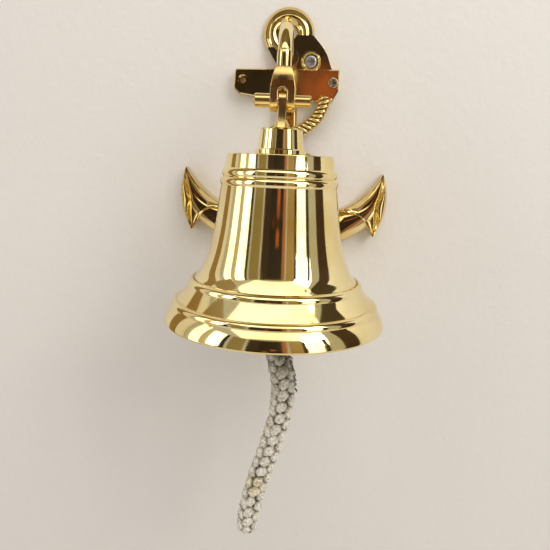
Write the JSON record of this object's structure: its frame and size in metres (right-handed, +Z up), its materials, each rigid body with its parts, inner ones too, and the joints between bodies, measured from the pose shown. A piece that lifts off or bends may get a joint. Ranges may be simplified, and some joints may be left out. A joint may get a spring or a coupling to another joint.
{
  "type": "wall-mounted ship bell",
  "caption": "Brass bell hung from a pin in a swan-neck arm on an anchor-shaped wall bracket, with a swinging clapper and a braided cotton lanyard to ring it.",
  "frame": {"origin": "on the bracket's flat wall face, midway between the two screw holes of the anchor's stock", "axes": "+X to the right seen from the front, +Y into the wall, +Z up"},
  "size_m": [0.1716, 0.171, 0.3985],
  "materials": {
    "polished_brass": "cast brass, machined and mirror polished",
    "cast_brass": "sand-cast brass, polished on its raised surfaces",
    "inner_brass": "cast brass left as turned, slightly dulled inside",
    "zinc_screw": "zinc-plated steel",
    "steel_screw": "nickel-coloured plated steel",
    "cotton_braid": "white cotton crown sennit, soiled near the bell"
  },
  "bodies": {
    "bracket": {"anchor_head": "cast_brass", "anchor_stock": "cast_brass", "anchor_shank": "cast_brass", "anchor_arms": "cast_brass", "fluke_left": "cast_brass", "fluke_right": "cast_brass", "cast_rope": "cast_brass", "bracket_arm": "polished_brass", "arm_collar": "polished_brass", "clevis": "polished_brass", "arm_fixing_screw": "steel_screw", "hanger_pin": "polished_brass", "pin_cap_nut": "polished_brass", "upper_wall_screw": "zinc_screw", "right_wall_screw": "steel_screw"},
    "bell": {"bell_crown": "polished_brass", "bell_waist": "polished_brass", "bell_sound_bow": "polished_brass", "neck_collar": "polished_brass", "hanger_tongue": "polished_brass", "crown_washer": "inner_brass", "crown_nut": "inner_brass", "clapper_eyebolt": "inner_brass"},
    "link": {"clapper_link": "inner_brass"},
    "clapper": {"clapper_rod": "inner_brass", "clapper_ball": "inner_brass", "clapper_tail_eye": "inner_brass"},
    "lanyard": {"lanyard_loop": "cotton_braid", "lanyard_braid": "cotton_braid", "lanyard_knot": "cotton_braid"}
  },
  "joints": [
    {"name": "bell_swing", "type": "hinge", "parent": "bracket", "child": "bell", "pos_m": [0, -0.095, -0.0242], "axis": [-1, 0, 0], "range_deg": [-6, 80]},
    {"name": "clapper_swing", "type": "hinge", "parent": "bell", "child": "link", "pos_m": [0, -0.095, -0.083], "axis": [0, -1, 0], "range_deg": [-30.5, 30.5]},
    {"name": "clapper_sway", "type": "hinge", "parent": "link", "child": "clapper", "pos_m": [0, -0.095, -0.0944], "axis": [-1, 0, 0], "range_deg": [-6, 6]},
    {"name": "lanyard_swing", "type": "hinge", "parent": "clapper", "child": "lanyard", "pos_m": [0, -0.095, -0.1851], "axis": [0, -1, 0], "range_deg": [-30.5, 30.5]}
  ],
  "couplings": [
    {"joint": "lanyard_swing", "follows": "clapper_swing", "ratio": -1}
  ]
}
